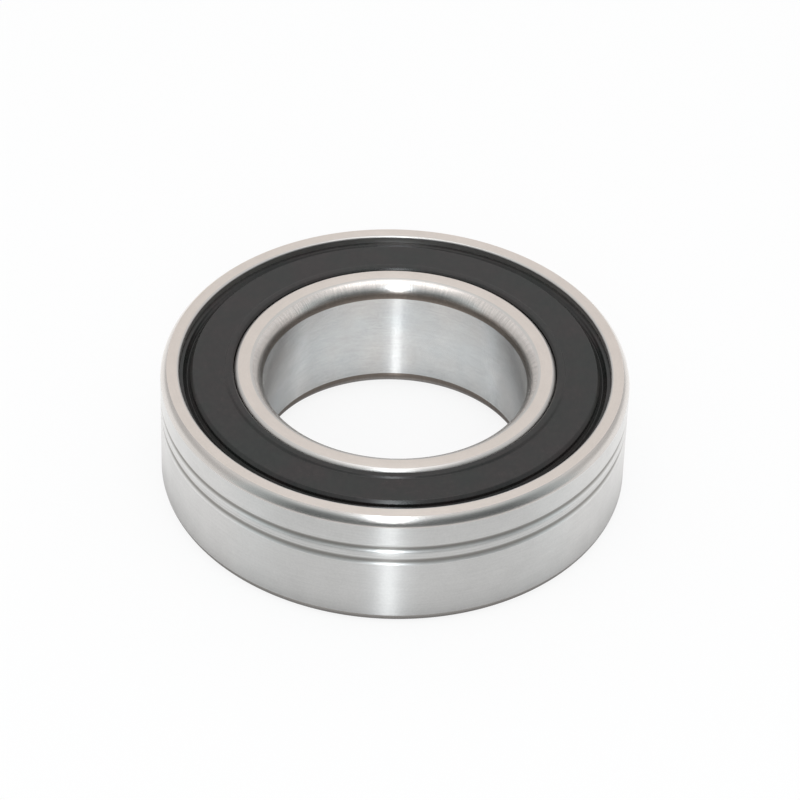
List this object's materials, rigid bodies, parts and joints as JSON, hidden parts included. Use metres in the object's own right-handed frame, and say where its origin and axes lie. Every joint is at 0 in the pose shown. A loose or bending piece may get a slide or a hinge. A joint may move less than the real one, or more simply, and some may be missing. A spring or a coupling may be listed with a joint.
{
  "type": "sealed deep groove ball bearing",
  "caption": "Single-row deep groove ball bearing with a black rubber seal on each side and two fine grooves round the outside.",
  "frame": {"origin": "centre of the bearing, on its axis, halfway between the two end faces", "axes": "+Z along the axis of rotation, towards the end that the two outside grooves are nearer to"},
  "size_m": [0.062, 0.062, 0.0176],
  "materials": {
    "ring_steel": "ground bearing steel",
    "seal_rubber": "moulded nitrile rubber, satin",
    "insert_steel": "pressed sheet, phosphated",
    "cage_steel": "pressed strip, tumbled",
    "rivet_steel": "headed wire",
    "ball_steel": "lapped and polished"
  },
  "bodies": {
    "outer": {"outer_ring": "ring_steel", "upper_seal_rubber": "seal_rubber", "upper_seal_insert": "insert_steel", "lower_seal_rubber": "seal_rubber", "lower_seal_insert": "insert_steel"},
    "inner": {"inner_ring": "ring_steel"},
    "cage": {"cage_upper_half": "cage_steel", "cage_lower_half": "cage_steel", "cage_rivets": "rivet_steel"},
    "ball_01": {"ball_01": "ball_steel"},
    "ball_02": {"ball_02": "ball_steel"},
    "ball_03": {"ball_03": "ball_steel"},
    "ball_04": {"ball_04": "ball_steel"},
    "ball_05": {"ball_05": "ball_steel"},
    "ball_06": {"ball_06": "ball_steel"},
    "ball_07": {"ball_07": "ball_steel"},
    "ball_08": {"ball_08": "ball_steel"},
    "ball_09": {"ball_09": "ball_steel"},
    "ball_10": {"ball_10": "ball_steel"},
    "ball_11": {"ball_11": "ball_steel"}
  },
  "joints": [
    {"name": "inner_ring_spin", "type": "hinge", "parent": "outer", "child": "inner", "pos_m": [0, 0, 0], "axis": [0, 0, 1], "continuous": true},
    {"name": "cage_spin", "type": "hinge", "parent": "outer", "child": "cage", "pos_m": [0, 0, 0], "axis": [0, 0, 1], "continuous": true},
    {"name": "ball_01_spin", "type": "hinge", "parent": "cage", "child": "ball_01", "pos_m": [0.02425, 0, 0], "axis": [0, 0, 1], "continuous": true},
    {"name": "ball_02_spin", "type": "hinge", "parent": "cage", "child": "ball_02", "pos_m": [0.0204, 0.01311, 0], "axis": [0, 0, 1], "continuous": true},
    {"name": "ball_03_spin", "type": "hinge", "parent": "cage", "child": "ball_03", "pos_m": [0.01007, 0.02206, 0], "axis": [0, 0, 1], "continuous": true},
    {"name": "ball_04_spin", "type": "hinge", "parent": "cage", "child": "ball_04", "pos_m": [-0.00345, 0.024, 0], "axis": [0, 0, 1], "continuous": true},
    {"name": "ball_05_spin", "type": "hinge", "parent": "cage", "child": "ball_05", "pos_m": [-0.01588, 0.01833, 0], "axis": [0, 0, 1], "continuous": true},
    {"name": "ball_06_spin", "type": "hinge", "parent": "cage", "child": "ball_06", "pos_m": [-0.02327, 0.00683, 0], "axis": [0, 0, 1], "continuous": true},
    {"name": "ball_07_spin", "type": "hinge", "parent": "cage", "child": "ball_07", "pos_m": [-0.02327, -0.00683, 0], "axis": [0, 0, 1], "continuous": true},
    {"name": "ball_08_spin", "type": "hinge", "parent": "cage", "child": "ball_08", "pos_m": [-0.01588, -0.01833, 0], "axis": [0, 0, 1], "continuous": true},
    {"name": "ball_09_spin", "type": "hinge", "parent": "cage", "child": "ball_09", "pos_m": [-0.00345, -0.024, 0], "axis": [0, 0, 1], "continuous": true},
    {"name": "ball_10_spin", "type": "hinge", "parent": "cage", "child": "ball_10", "pos_m": [0.01007, -0.02206, 0], "axis": [0, 0, 1], "continuous": true},
    {"name": "ball_11_spin", "type": "hinge", "parent": "cage", "child": "ball_11", "pos_m": [0.0204, -0.01311, 0], "axis": [0, 0, 1], "continuous": true}
  ],
  "couplings": [
    {"joint": "cage_spin", "follows": "inner_ring_spin", "ratio": 0.41817},
    {"joint": "ball_01_spin", "follows": "inner_ring_spin", "ratio": -2.9731},
    {"joint": "ball_02_spin", "follows": "inner_ring_spin", "ratio": -2.9731},
    {"joint": "ball_03_spin", "follows": "inner_ring_spin", "ratio": -2.9731},
    {"joint": "ball_04_spin", "follows": "inner_ring_spin", "ratio": -2.9731},
    {"joint": "ball_05_spin", "follows": "inner_ring_spin", "ratio": -2.9731},
    {"joint": "ball_06_spin", "follows": "inner_ring_spin", "ratio": -2.9731},
    {"joint": "ball_07_spin", "follows": "inner_ring_spin", "ratio": -2.9731},
    {"joint": "ball_08_spin", "follows": "inner_ring_spin", "ratio": -2.9731},
    {"joint": "ball_09_spin", "follows": "inner_ring_spin", "ratio": -2.9731},
    {"joint": "ball_10_spin", "follows": "inner_ring_spin", "ratio": -2.9731},
    {"joint": "ball_11_spin", "follows": "inner_ring_spin", "ratio": -2.9731}
  ]
}
